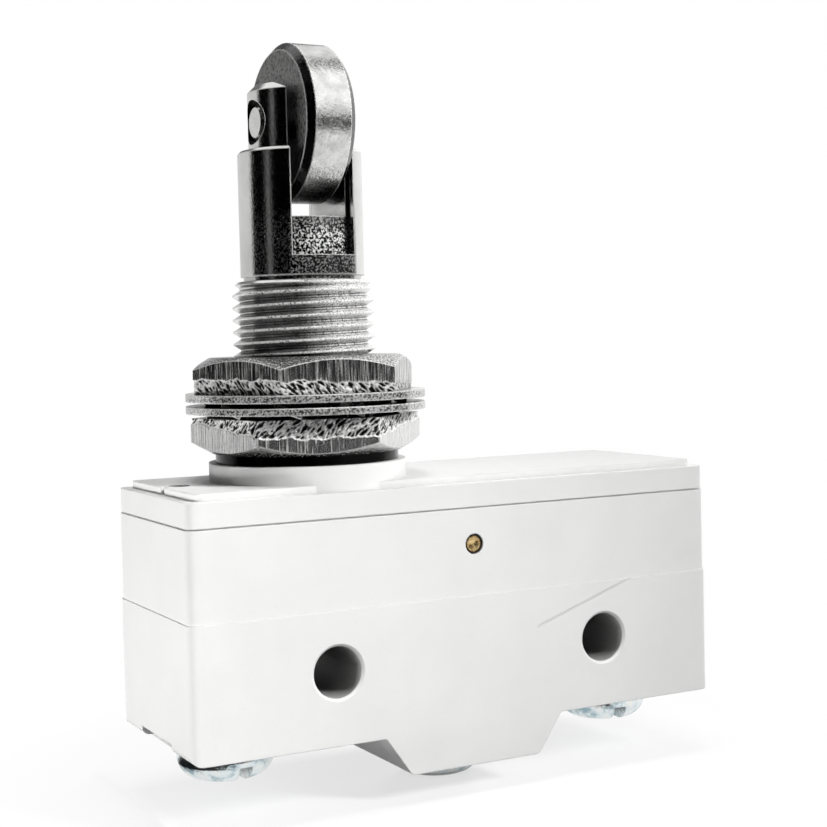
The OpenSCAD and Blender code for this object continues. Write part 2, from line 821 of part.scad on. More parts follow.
module snap_blade() {
    chord = window_len - tongue_gap;
    bow_r = (chord * chord / 4 + tongue_bow * tongue_bow) / (2 * tongue_bow);
    bow_half = asin(chord / 2 / bow_r);
    color(copper_alloy) {
        difference() {
            strip(common_riser, blade_end, blade_w, z_blade, z_blade_top);
            strip(window_left, window_right, window_w, z_blade - cut, z_blade_top + cut);
            post(rivet_x, rivet_d + 2 * rivet_room, z_blade - cut, z_blade_top + cut);
            post(contact_x, shank_d, z_blade - cut, z_blade_top + cut);
        }
        // Bowed tongue, joined to the blade at the window's right end
        translate([window_right - chord / 2, 0, z_blade + bow_r - tongue_bow])
            rotate([90, 0, 0])
                rotate([0, 0, 270 - bow_half])
                    linear_extrude(tongue_w, center = true)
                        difference() {
                            bow_sector(bow_r, 2 * bow_half);
                            circle(r = bow_r - blade_t);
                        }
    }
}

// Sector of a disc from the X axis through an angle below 90 degrees
module bow_sector(r, angle) {
    intersection() {
        circle(r = r);
        polygon([[0, 0], [2 * r, 0], [2 * r * cos(angle), 2 * r * sin(angle)]]);
    }
}

module moving_contact() {
    color(silver) {
        post(contact_x, contact_d, z_moving, z_blade);
        post(contact_x, shank_d, z_blade, z_blade_top);
        post(contact_x, contact_d, z_blade_top, z_moving_top);
    }
}

module blade_rivet() {
    z_low = z_blade - strip_t;
    z_high = z_blade_top + rivet_room;
    color(brass) {
        post(rivet_x, rivet_d, z_low, z_high);
        post(rivet_x, rivet_head_d, z_high, z_high + rivet_head_h);
        post(rivet_x, rivet_head_d, z_low - rivet_head_h, z_low);
    }
}

// Pad of a terminal strip, with the hole for its screw
module terminal_pad(x0, x1, screw_x, foot) {
    difference() {
        strip(x0, x1, strip_w, foot, foot + strip_t);
        post(screw_x, screw_d + 2 * touch_gap, foot - cut, foot + strip_t + cut);
    }
}

module common_terminal() {
    color(nickel) {
        terminal_pad(x_left + pad_in, common_x + pad_reach, common_x, z_case_foot);
        strip(common_riser, common_riser + strip_t, strip_w, z_case_foot, z_blade);
        difference() {
            strip(common_riser, blade_hinge_x, strip_w, z_blade - strip_t, z_blade);
            post(rivet_x, rivet_d, z_blade - strip_t - cut, z_blade + cut);
        }
    }
}

module normally_open_terminal() {
    color(nickel) {
        terminal_pad(open_x - pad_reach, open_riser + strip_t, open_x, z_open_foot);
        strip(open_riser, open_riser + strip_t, strip_w, z_open_foot, z_open_arm);
        difference() {
            strip(open_riser, blade_end, strip_w, cavity_floor, z_open_arm);
            post(contact_x, shank_d, cavity_floor - cut, z_open_arm + cut);
        }
    }
}

module normally_closed_terminal() {
    color(nickel) {
        terminal_pad(closed_x - pad_reach, x_right - pad_in, closed_x, z_case_foot);
        strip(closed_riser, closed_riser + strip_t, strip_w, z_case_foot, z_closed_top);
        difference() {
            strip(contact_x - contact_d, closed_riser + strip_t, strip_w, z_closed_arm, z_closed_top);
            post(contact_x, shank_d, z_closed_arm - cut, z_closed_top + cut);
        }
    }
}

module normally_open_contact() {
    color(silver) {
        post(contact_x, shank_d, cavity_floor, z_open_arm);
        post(contact_x, contact_d, z_open_arm, z_open_face);
    }
}

module normally_closed_contact() {
    color(silver) {
        post(contact_x, contact_d, z_closed_face, z_closed_arm);
        post(contact_x, shank_d, z_closed_arm, z_closed_top);
    }
}

// Terminal screw with a domed head, hanging below Z = 0, with its driver slots turned
module terminal_screw(turn) {
    rim = head_d / 2 - head_round;
    dome = [for (a = [0:15:90]) [rim + head_round * sin(a), -head_h + head_round - head_round * cos(a)]];
    difference() {
        union() {
            rotate_extrude()
                polygon(concat([[0, 0], [0, -head_h]], dome, [[head_d / 2, 0]]));
            cylinder(d = screw_d, h = screw_len);
        }
        rotate([0, 0, turn])
            translate([0, 0, -head_h]) {
                cube([driver_w, head_d + cut, 2 * driver_depth], center = true);
                cube([cross_len, driver_w, 2 * driver_depth], center = true);
            }
    }
}

// Split spring washer standing on Z = 0, with a slanted split on one side
module spring_washer(turn) {
    rotate([0, 0, turn])
        difference() {
            cylinder(d = spring_washer_d, h = spring_washer_t);
            translate([0, 0, -cut])
                cylinder(d = screw_d + 2 * fit_gap, h = spring_washer_t + 2 * cut);
            translate([spring_washer_d / 2, 0, spring_washer_t / 2])
                rotate([split_slant, 0, 0])
                    cube([spring_washer_d, split_gap, 4 * spring_washer_t], center = true);
        }
}

module common_screw() {
    color(zinc)
        translate([common_x, 0, z_case_foot - spring_washer_t])
            terminal_screw(common_turn);
}

module normally_open_screw() {
    color(zinc)
        translate([open_x, 0, z_open_foot - spring_washer_t])
            terminal_screw(open_turn);
}

module normally_closed_screw() {
    color(zinc)
        translate([closed_x, 0, z_case_foot - spring_washer_t])
            terminal_screw(closed_turn);
}

module common_spring_washer() {
    color(zinc)
        translate([common_x, 0, z_case_foot - spring_washer_t])
            spring_washer(common_split);
}

module normally_open_spring_washer() {
    color(zinc)
        translate([open_x, 0, z_open_foot - spring_washer_t])
            spring_washer(open_split);
}

module normally_closed_spring_washer() {
    color(zinc)
        translate([closed_x, 0, z_case_foot - spring_washer_t])
            spring_washer(closed_split);
}

case();
cover();
cover_pin();
bushing();
lower_nut();
toothed_washer();
plain_washer();
upper_nut();
roller_plunger();
roller();
roller_axle();
pusher();
overtravel_spring();
button();
snap_blade();
moving_contact();
blade_rivet();
common_terminal();
normally_open_terminal();
normally_closed_terminal();
normally_open_contact();
normally_closed_contact();
common_screw();
normally_open_screw();
normally_closed_screw();
common_spring_washer();
normally_open_spring_washer();
normally_closed_spring_washer();
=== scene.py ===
import json
import math

import bpy
from mathutils import Matrix, Vector, noise


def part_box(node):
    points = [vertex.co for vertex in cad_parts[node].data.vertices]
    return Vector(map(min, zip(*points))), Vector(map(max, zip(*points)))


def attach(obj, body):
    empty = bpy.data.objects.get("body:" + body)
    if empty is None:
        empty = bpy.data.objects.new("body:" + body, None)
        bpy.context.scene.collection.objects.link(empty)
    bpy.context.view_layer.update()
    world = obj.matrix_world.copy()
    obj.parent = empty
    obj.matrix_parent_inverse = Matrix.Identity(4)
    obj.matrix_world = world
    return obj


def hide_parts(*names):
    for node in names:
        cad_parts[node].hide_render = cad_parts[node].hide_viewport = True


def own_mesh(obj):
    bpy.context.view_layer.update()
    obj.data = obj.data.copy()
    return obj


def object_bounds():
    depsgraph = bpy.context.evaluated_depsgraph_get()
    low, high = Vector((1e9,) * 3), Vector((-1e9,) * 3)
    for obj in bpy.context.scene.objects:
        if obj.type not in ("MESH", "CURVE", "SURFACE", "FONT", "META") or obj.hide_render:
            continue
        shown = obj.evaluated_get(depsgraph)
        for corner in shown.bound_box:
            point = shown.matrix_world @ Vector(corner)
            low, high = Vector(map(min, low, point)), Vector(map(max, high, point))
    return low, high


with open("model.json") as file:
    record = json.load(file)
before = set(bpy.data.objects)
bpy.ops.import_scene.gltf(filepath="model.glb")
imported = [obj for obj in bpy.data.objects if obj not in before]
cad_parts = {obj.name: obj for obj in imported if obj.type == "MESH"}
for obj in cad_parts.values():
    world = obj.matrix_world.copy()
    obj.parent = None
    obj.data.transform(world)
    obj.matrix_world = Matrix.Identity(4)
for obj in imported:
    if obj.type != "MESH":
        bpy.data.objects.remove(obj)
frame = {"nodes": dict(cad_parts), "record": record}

MM = 0.001
nodes = frame["nodes"]
cad_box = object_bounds()

# Sizes that the finished pieces take from the solids
panel = next(m for m in frame["record"]["mounts"] if m["name"] == "panel_bushing")
AXIS_X = panel["pos_m"][0]
THREAD_LOW = panel["pos_m"][2]
THREAD_R = panel["dims"]["r_mm"] * MM
THREAD_HIGH = THREAD_LOW + panel["dims"]["length_mm"] * MM
FLOOR_Z = cad_box[0].z
TOUCH = 0.01 * MM

# Thread of the bushing
PITCH = 1.0 * MM
THREAD_DEPTH = 0.61 * MM
THREAD_ROOT_R = THREAD_R - THREAD_DEPTH
THREAD_CHAMFER = 0.5 * MM
THREAD_OVERLAP = 0.5 * MM
CREST_FLAT = 0.12
ROOT_FLAT = 0.12
RIDGE_SINK = 0.04 * MM
STEPS_PER_TURN = 120
RUN_OUT_TURNS = 0.3
THREAD_MARK = "thread_height"
OFF_THREAD = 0.6

# Sheared bands on the nuts' sides, next to the washers, as shares of the nuts' height
UPPER_BAND = {"share": 0.29, "tilt": 0.14, "towards": 180}
LOWER_BAND = {"share": 0.14, "tilt": 0.38, "towards": -103}
NUT_STEPS = 130
NUT_ROWS = 44
SHEAR_MARK = "sheared"
SHEAR_DEPTH = 0.20 * MM
SHEAR_LIP = 0.06
SHEAR_LEAST = 0.2
SHEAR_ROUGH = 1.4
WAVE_HEIGHT = 0.12
WAVE_RADIUS = 9.0
WAVE_COARSE = 0.55
WAVE_FINE = 1.7
STROKE_LENGTH = 0.85 * MM
STROKE_WIDTH = 0.30 * MM
STROKE_LEAN = math.radians(42)
STROKE_FINE = 2.2
FINE_SHARE = 0.5

# Angles in degrees past which an edge stays sharp
TURNED_SHARP = 32
NUT_SHARP = 38
CARD_SHARP = 60

# Camera at the photo's viewing angle
CAMERA_PLACE = Vector((-65.12, -120.35, 26.47)) * MM
CAMERA_AZIMUTH = math.radians(28.12)
CAMERA_DROP = math.radians(2.82)
CAMERA_ROLL = math.radians(-1.35)
CAMERA_NEAR = 0.01
FRAME_PIXELS = 827
FOCAL_PIXELS = 1571.2
SENSOR = 36.0

# Finishes
RAY_SAMPLES = 4
GRAIN_ROUGHNESS = 0.55
GRAIN_LOW = 0.3
GRAIN_HIGH = 0.7
EDGE_COSINE = 0.93
FACE_COSINE = 0.99
# Edges lighter and duller, partly as wear and partly as painted highlight
WORN_AND_HIGHLIT_EDGE = (0.93, 0.93, 0.92)
WORN_AND_HIGHLIT_METALLIC = 0.25
BLACK = (0.01, 0.01, 0.01)
PLASTIC_IOR = 1.5
# Painted shade in gaps and recesses: reach, darkest shade and occlusion range of each finish
PLASTIC_REACH = 9 * MM
PLASTIC_PAINTED_SHADE = 0.10
PLASTIC_GAP = (0.08, 0.52)
METAL_REACH = 2.5 * MM
METAL_PAINTED_SHADE = 0.02
METAL_GAP = (0.30, 0.75)
TURNED_GAP = (0.22, 0.52)
SCREW_GAP = (0.12, 0.52)
# Radius of the spot faces painted black as shade
SPOT_FACE_R = 1.82 * MM
# Height over which the painted shade on the flange below the thread fades
FLANGE_FADE = 0.05 * MM
THREAD_FADE = 0.1 * MM
# Where the slot is on the sleeve and the fork: painted shade with painted glints
SLOT_SHADE_LOW = 35 * MM
SLOT_SHADE_HIGH = 37 * MM
SLOT_SHADE_HALF = 2.75 * MM
SLOT_SHADE_FADE = 0.3 * MM
# Thread flanks painted lighter from left to right, as painted light
PAINTED_LIGHT_LEFT = -13.5 * MM
PAINTED_LIGHT_RIGHT = -10.5 * MM

# Rolled and drawn metals: name, dark tone, light tone, and what is made of them
STRIP_METALS = (
    ("plated_strip", (0.66, 0.66, 0.65), (0.82, 0.82, 0.81),
     ("common_terminal", "normally_open_terminal", "normally_closed_terminal")),
    ("ground_pin", (0.70, 0.70, 0.69), (0.86, 0.86, 0.85), ("roller_axle",)),
    ("rolled_brass", (0.66, 0.46, 0.17), (0.84, 0.64, 0.30), ("blade_rivet",)),
    ("silver_rivet", (0.80, 0.80, 0.77), (0.92, 0.92, 0.89),
     ("moving_contact", "normally_open_contact", "normally_closed_contact")),
    ("spring_copper", (0.66, 0.40, 0.24), (0.82, 0.56, 0.38), ("snap_blade",)),
    ("drawn_steel", (0.44, 0.44, 0.43), (0.60, 0.60, 0.59),
     ("pusher", "overtravel_spring", "coiled_spring")),
)

# Floor
FLOOR_STEPS = 96
FLOOR_REACH = 3.0
FLOOR_COLOUR = (0.95, 0.95, 0.95, 1)
WHITE = (1, 1, 1, 1)

# Lamps: name, azimuth in degrees, height, distance, width and height of the lamp in metres, and watts
LAMPS = (
    ("low_strip", -56, -0.004, 0.115, 0.05, 0.014, 0.105),
    ("front_softbox", 62, 0.225, 0.39, 0.10, 0.10, 2.95),
    ("top_softbox", 0, 0.50, 0.03, 0.15, 0.15, 1.2),
    ("back_softbox", 170, 0.04, 0.40, 0.12, 0.06, 1.5),
)
END_FLAG_GAP = 0.6 * MM
END_FLAG_HALF = 15 * MM
BOSS_FLAG_DROP = 1.5 * MM

# Cards that only reflections show: name, shade, and azimuths and elevations in degrees, from and to
CARDS = (
    ("left_light", 0.72, -180, -98, -10, 16),
    ("left_top_flag", 0.18, -180, -98, 16, 45),
    ("left_flag", 0.0, -98, -61, -10, 70),
    ("slit", 0.16, -61, -53, -10, 70),
    ("camera_flag", 0.0, -53, 12, -10, 22),
    ("camera_top_flag", 0.0, -53, -4, 22, 70),
    ("right_light_edge", 0.45, -4, 15, 24, 70),
    ("right_flag", 0.05, 12, 44, -8, 22),
    ("right_edge_flag", 0.06, 44, 60, -8, 9),
    ("far_right_flag", 0.10, 60, 118, -8, 14),
    ("right_light", 1.4, 15, 95, 24, 70),
    ("band_flag", 0.1, 100, 140, 55, 68),
)
# Cards over the floor: name, shade, azimuths in degrees and distances in metres, from and to
FLOOR_CARDS = (
    ("floor_flag", 0.02, -98, 44, 0.014, 0.25),
    ("right_floor_flag", 0.05, 12, 100, 0.014, 0.03),
)
CARD_Z = 30 * MM
CARD_DISTANCE = 0.25
CARD_STEPS = 13
FLOOR_CARD_Z = FLOOR_Z + 1 * MM


def mesh_piece(name, points, faces, sharp_angle):
    """New mesh piece from points and faces, smooth apart from edges sharper than an angle in degrees."""
    mesh = bpy.data.meshes.new(name)
    mesh.from_pydata(points, [], faces)
    mesh.validate()
    mesh.polygons.foreach_set("use_smooth", [True] * len(mesh.polygons))
    mesh.set_sharp_from_angle(angle=math.radians(sharp_angle))
    mesh.update()
    piece = bpy.data.objects.new(name, mesh)
    bpy.context.scene.collection.objects.link(piece)
    return piece


def mark(piece, name, values):
    """Keeps a number for each point of a piece, for its finish to use."""
    kept = piece.data.attributes.new(name, "FLOAT", "POINT")
    kept.data.foreach_set("value", values)


def middle_of(node):
    """Middle of a solid's box."""
    low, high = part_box(node)
    return (low + high) / 2


def radius_of(point):
    """Distance of a point from the bushing's axis."""
    return math.hypot(point[0] - AXIS_X, point[1])


def on_axis(radius, angle, z):
    """Point at a radius and angle about the bushing's axis."""
    return (AXIS_X + radius * math.cos(angle), radius * math.sin(angle), z)


def thread_ridge():
    """Points and faces of the helical ridge, whose flat root lies just inside the bushing's core."""
    half = PITCH / 2
    root_half = half * (1 - ROOT_FLAT)
    section = [
        (THREAD_ROOT_R - RIDGE_SINK, -root_half),
        (THREAD_ROOT_R, -root_half),
        (THREAD_R, -half * CREST_FLAT),
        (THREAD_R, half * CREST_FLAT),
        (THREAD_ROOT_R, root_half),
        (THREAD_ROOT_R - RIDGE_SINK, root_half),
    ]
    turns = (THREAD_HIGH - THREAD_LOW - PITCH) / PITCH
    steps = int(turns * STEPS_PER_TURN)
    points = []
    for i in range(steps + 1):
        angle = 2 * math.pi * i / STEPS_PER_TURN
        middle = THREAD_LOW + half + PITCH * i / STEPS_PER_TURN
        run_out = min(1.0, min(i, steps - i) / STEPS_PER_TURN / RUN_OUT_TURNS)
        for radius, rise in section:
            z = middle + rise
            full = min(radius, THREAD_R - THREAD_CHAMFER + (THREAD_HIGH - z))
            ridge = max(0.0, full - THREAD_ROOT_R) * run_out
            points.append(on_axis(min(full, THREAD_ROOT_R) + ridge, angle, z))
    n = len(section)
    faces = [
        (i * n + k, (i + 1) * n + k, (i + 1) * n + (k + 1) % n, i * n + (k + 1) % n)
        for i in range(steps)
        for k in range(n)
    ]
    faces.append(tuple(range(n)))
    faces.append(tuple(steps * n + k for k in reversed(range(n))))
    return points, faces


def threaded_bushing():
    """The bushing's own solid, its plain thread turned down to the root and a helical ridge round it."""
    solid = nodes["bushing"].data
    points = [v.co.copy() for v in solid.vertices]
    for p in points:
        on_thread = THREAD_LOW - THREAD_OVERLAP < p.z < THREAD_HIGH
        if on_thread and abs(radius_of(p) - THREAD_R) < 2 * TOUCH:
            p.x = AXIS_X + (p.x - AXIS_X) * THREAD_ROOT_R / THREAD_R
            p.y = p.y * THREAD_ROOT_R / THREAD_R
    faces = [tuple(f.vertices) for f in solid.polygons]
    ridge_points, ridge_faces = thread_ridge()
    start = len(points)
    faces += [tuple(start + i for i in f) for f in ridge_faces]
    piece = mesh_piece("threaded_bushing", points + ridge_points, faces, TURNED_SHARP)
    heights = [OFF_THREAD] * len(points)
    heights += [max(0.0, (radius_of(p) - THREAD_ROOT_R) / THREAD_DEPTH) for p in ridge_points]
    mark(piece, THREAD_MARK, heights)
    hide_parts("bushing")
    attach(piece, "housing")


def nut_form(node, chamfer_up):
    """Sizes of a nut read from its solid: corner radius, turn, bore, and the chamfer's face and drop."""
    low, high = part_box(node)
    points = [v.co for v in nodes[node].data.vertices]
    corner = max(points, key=radius_of)
    corner_r = radius_of(corner)
    face_z = high.z if chamfer_up else low.z
    return {
        "corner_r": corner_r,
        "turn": math.atan2(corner.y, corner.x - AXIS_X),
        "bore": min(radius_of(p) for p in points),
        "face_r": max(radius_of(p) for p in points if abs(p.z - face_z) < TOUCH),
        "drop": min(abs(face_z - p.z) for p in points if radius_of(p) > corner_r - TOUCH),
        "plain_z": low.z if chamfer_up else high.z,
        "height": (high.z - low.z) * (1 if chamfer_up else -1),
    }


def strokes(run, rise, lean):
    """Noise drawn out into strokes that lean to the right, at a place on a nut's side in metres."""
    along = run * math.cos(lean) + rise * math.sin(lean)
    across = rise * math.cos(lean) - run * math.sin(lean)
    return abs(noise.noise(Vector((along / STROKE_LENGTH, across / STROKE_WIDTH, 0))))


def sheared(angle, share, form, band):
    """Depth of the sheared band in a nut's side, as a share, at an angle and a share of the height."""
    place = Vector((math.cos(angle), math.sin(angle), 0)) * WAVE_RADIUS
    wave = noise.noise(place * WAVE_COARSE) + FINE_SHARE * noise.noise(place * WAVE_FINE)
    edge = band["share"] + band["tilt"] * math.cos(angle - math.radians(band["towards"]))
    edge += WAVE_HEIGHT * wave
    if share >= edge:
        return 0.0
    depth = min(1.0, (edge - share) / SHEAR_LIP)
    lean = -STROKE_LEAN if form["height"] > 0 else STROKE_LEAN
    run = angle * form["corner_r"]
    rise = share * form["height"]
    rough = strokes(run, rise, lean) + FINE_SHARE * strokes(STROKE_FINE * run, STROKE_FINE * rise, lean)
    return depth * (SHEAR_LEAST + SHEAR_ROUGH * rough)


def stamped_nut(name, node, chamfer_up, band):
    """Hexagon nut with a chamfered face, smooth burnished sides and a ragged sheared band by the washers."""
    form = nut_form(node, chamfer_up)
    flat_r = form["corner_r"] * math.cos(math.pi / 6)
    count = 6 * NUT_STEPS
    rings = []
    marks = []
    for i in range(count):
        angle = form["turn"] + 2 * math.pi * i / count
        off_flat = (2 * math.pi * i / count) % (math.pi / 3) - math.pi / 6
        side_r = flat_r / math.cos(off_flat)
        lean = max(0.0, side_r - form["face_r"]) / (form["corner_r"] - form["face_r"])
        side_top = 1 - lean * form["drop"] / abs(form["height"])
        shares = [side_top * k / NUT_ROWS for k in range(NUT_ROWS + 1)]
        depths = [sheared(angle, share, form, band) for share in shares]
        ring = [(form["bore"], 0.0), ((form["bore"] + flat_r) / 2, 0.0)]
        ring += [(side_r - SHEAR_DEPTH * depth, share) for depth, share in zip(depths, shares)]
        ring.append((min(side_r, form["face_r"]), 1.0))
        ring.append(((form["bore"] + form["face_r"]) / 2, 1.0))
        ring.append((form["bore"], 1.0))
        marks += [0.0, 0.0, *depths, 0.0, 0.0, 0.0]
        rings.append([on_axis(r, angle, form["plain_z"] + form["height"] * s) for r, s in ring])
    n = len(rings[0])
    points = [p for ring in rings for p in ring]
    faces = []
    for i in range(count):
        j = (i + 1) % count
        for k in range(n):
            m = (k + 1) % n
            face = (i * n + k, j * n + k, j * n + m, i * n + m)
            faces.append(face if chamfer_up else face[::-1])
    piece = mesh_piece(name, points, faces, NUT_SHARP)
    mark(piece, SHEAR_MARK, marks)
    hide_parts(node)
    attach(piece, "housing")


def coiled_spring():
    """The overtravel spring, copied from its solid as a piece of its own that moves with the plunger."""
    solid = nodes["overtravel_spring"].data
    points = [v.co.copy() for v in solid.vertices]
    faces = [tuple(f.vertices) for f in solid.polygons]
    piece = mesh_piece("coiled_spring", points, faces, TURNED_SHARP)
    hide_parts("overtravel_spring")
    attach(piece, "plunger")
    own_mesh(piece)


class Finish:
    """A procedural material: one Principled shader and the nodes that feed it."""

    def __init__(self, name, **constants):
        self.material = bpy.data.materials.new(name)
        self.material.use_nodes = True
        self.tree = self.material.node_tree
        self.shader = self.tree.nodes["Principled BSDF"]
        self.place = self.tree.nodes.new("ShaderNodeTexCoord").outputs["Object"]
        self.normal = None
        for socket, value in constants.items():
            self.shader.inputs[socket.replace("_", " ")].default_value = value

    def node(self, kind, **values):
        """New node of a kind, with some of its settings."""
        made = self.tree.nodes.new(kind)
        for key, value in values.items():
            setattr(made, key, value)
        return made

    def link(self, source, target):
        """Feeds one socket from another."""
        self.tree.links.new(source, target)

    def stretched(self, factors):
        """The object's own coordinates, scaled by a factor for each axis."""
        mapping = self.node("ShaderNodeMapping")
        mapping.inputs["Scale"].default_value = factors
        self.link(self.place, mapping.inputs["Vector"])
        return mapping.outputs["Vector"]

    def grain(self, size, detail=3.0, stretch=(1, 1, 1)):
        """Noise whose marks are about a size across, in metres, drawn out along the axes by stretch."""
        made = self.node("ShaderNodeTexNoise")
        made.inputs["Scale"].default_value = 1.0
        made.inputs["Detail"].default_value = detail
        made.inputs["Roughness"].default_value = GRAIN_ROUGHNESS
        self.link(self.stretched([1 / (size * s) for s in stretch]), made.inputs["Vector"])
        return made.outputs["Fac"]

    def ramp(self, value, *stops):
        """Colours or greys along a value, as (place, grey or colour) stops."""
        made = self.node("ShaderNodeValToRGB")
        points = made.color_ramp.elements
        while len(points) < len(stops):
            points.new(0.5)
        for point, (place, shade) in zip(points, stops):
            point.position = place
            point.color = (*shade, 1) if isinstance(shade, tuple) else (shade, shade, shade, 1)
        self.link(value, made.inputs["Fac"])
        return made.outputs["Color"]

    def spread(self, grain, low, high):
        """Greys or colours from a low to a high one over the range that a grain mostly has."""
        return self.ramp(grain, (GRAIN_LOW, low), (GRAIN_HIGH, high))

    def mix(self, share, first, second):
        """Blend of two colours by a share."""
        made = self.node("ShaderNodeMix", data_type="RGBA")
        self.link(share, made.inputs["Factor"])
        for source, target in ((first, made.inputs["A"]), (second, made.inputs["B"])):
            if isinstance(source, tuple):
                target.default_value = (*source, 1)
            else:
                self.link(source, target)
        return made.outputs["Result"]

    def math(self, operation, first, second=None):
        """One sum on values or plain numbers."""
        made = self.node("ShaderNodeMath", operation=operation)
        for source, target in zip((first, second), made.inputs):
            if isinstance(source, (int, float)):
                target.default_value = source
            elif source is not None:
                self.link(source, target)
        return made.outputs["Value"]

    def along(self, axis, low, high, first, last):
        """Number that goes from a first to a last value between two places on an axis, in metres."""
        parts = self.node("ShaderNodeSeparateXYZ")
        self.link(self.place, parts.inputs["Vector"])
        made = self.node("ShaderNodeMapRange")
        ends = (("From Min", low), ("From Max", high), ("To Min", first), ("To Max", last))
        for socket, value in ends:
            made.inputs[socket].default_value = value
        self.link(parts.outputs[axis], made.inputs["Value"])
        return made.outputs["Result"]

    def facing(self, axis):
        """1 where the surface faces along an axis, either way, and 0 where it lies along it."""
        parts = self.node("ShaderNodeSeparateXYZ")
        self.link(self.place.node.outputs["Normal"], parts.inputs["Vector"])
        return self.math("ABSOLUTE", parts.outputs[axis])

    def off_line(self, point, across):
        """Distance in metres from a line through a point, along the axes that across marks with 1."""
        away = self.node("ShaderNodeVectorMath", operation="SUBTRACT")
        self.link(self.place, away.inputs[0])
        away.inputs[1].default_value = point
        level = self.node("ShaderNodeVectorMath", operation="MULTIPLY")
        self.link(away.outputs["Vector"], level.inputs[0])
        level.inputs[1].default_value = across
        length = self.node("ShaderNodeVectorMath", operation="LENGTH")
        self.link(level.outputs["Vector"], length.inputs[0])
        return length.outputs["Value"]

    def marked(self, name):
        """The number kept for each point under a name."""
        return self.node("ShaderNodeAttribute", attribute_name=name).outputs["Fac"]

    def soft_edges(self, radius):
        """Rounds sharp edges by a radius in metres, and gives 1 along them and 0 on the faces."""
        made = self.node("ShaderNodeBevel", samples=RAY_SAMPLES)
        made.inputs["Radius"].default_value = radius
        self.normal = made.outputs["Normal"]
        turned = self.node("ShaderNodeVectorMath", operation="DOT_PRODUCT")
        self.link(self.normal, turned.inputs[0])
        self.link(self.node("ShaderNodeNewGeometry").outputs["Normal"], turned.inputs[1])
        return self.ramp(turned.outputs["Value"], (EDGE_COSINE, 1.0), (FACE_COSINE, 0.0))

    def painted_gap_shade(self, colour, shade, reach, gap, own=False):
        """Colour with painted shade, which goes to a dark shade in gaps and recesses, of its own object or
        of all, within a reach in metres.
        """
        made = self.node("ShaderNodeAmbientOcclusion", samples=RAY_SAMPLES, only_local=own)
        made.inputs["Distance"].default_value = reach
        closed = self.ramp(made.outputs["AO"], (gap[0], 1.0), (gap[1], 0.0))
        return self.mix(closed, colour, (shade, shade, shade))

    def bump(self, height, depth):
        """Relief of a depth in metres from a height between 0 and 1."""
        made = self.node("ShaderNodeBump")
        made.inputs["Strength"].default_value = 1.0
        made.inputs["Distance"].default_value = depth
        self.link(height, made.inputs["Height"])
        if self.normal is not None:
            self.link(self.normal, made.inputs["Normal"])
        self.normal = made.outputs["Normal"]

    def done(self, colour=None, roughness=None, metallic=None):
        """Feeds the shader and gives the material."""
        fed = (("Base Color", colour), ("Roughness", roughness), ("Metallic", metallic))
        for socket, source in fed:
            if source is not None:
                self.link(source, self.shader.inputs[socket])
        if self.normal is not None:
            self.link(self.normal, self.shader.inputs["Normal"])
        return self.material


def grey_plastic():
    """Moulded light grey plastic, clouded and finely speckled, with painted shade in its recesses."""
    f = Finish("moulded_grey_plastic", IOR=PLASTIC_IOR)
    clouds = f.grain(6 * MM, detail=4)
    specks = f.grain(0.22 * MM, detail=2)
    tint = f.spread(clouds, (0.775, 0.775, 0.768), (0.815, 0.815, 0.808))
    speckled = f.mix(f.ramp(specks, (0.66, 0.0), (0.74, 0.35)), tint, (0.70, 0.70, 0.69))
    f.soft_edges(0.12 * MM)
    f.bump(f.grain(0.18 * MM, detail=2), 0.004 * MM)
    # Painted shade in holes, seams and under ledges
    colour = f.painted_gap_shade(speckled, PLASTIC_PAINTED_SHADE, PLASTIC_REACH, PLASTIC_GAP, own=True)
    return f.done(colour, f.spread(clouds, 0.42, 0.52))


def dark_plastic():
    """Moulded dark brown plastic."""
    f = Finish("dark_moulded_plastic", IOR=PLASTIC_IOR)
    clouds = f.grain(1.5 * MM, detail=3)
    f.soft_edges(0.08 * MM)
    f.bump(f.grain(0.15 * MM, detail=2), 0.004 * MM)
    colour = f.spread(clouds, (0.10, 0.045, 0.035), (0.16, 0.075, 0.06))
    return f.done(colour, f.spread(clouds, 0.38, 0.50))


def worn_and_highlit(f, edge, colour, roughness):
    """Metal whose edges have wear, lighter and duller than its faces, partly as real wear and partly as
    painted highlight.
    """
    metallic = f.ramp(edge, (0.0, 1.0), (1.0, WORN_AND_HIGHLIT_METALLIC))
    return f.done(f.mix(edge, colour, WORN_AND_HIGHLIT_EDGE), roughness, metallic)


def painted_slot_shade(f, above_thread):
    """1 on the sleeve and the fork where the slot is, which takes painted shade and painted glints, and 0
    elsewhere.
    """
    left, right = (AXIS_X - SLOT_SHADE_HALF, AXIS_X + SLOT_SHADE_HALF)
    from_left = f.along("X", left - SLOT_SHADE_FADE, left, 0.1, 1.0)
    to_right = f.along("X", right, right + SLOT_SHADE_FADE, 1.0, 0.0)
    low_down = f.along("Z", SLOT_SHADE_LOW, SLOT_SHADE_HIGH, 1.0, 0.0)
    across = f.math("MULTIPLY", from_left, to_right)
    return f.math("MULTIPLY", f.math("MULTIPLY", above_thread, low_down), across)


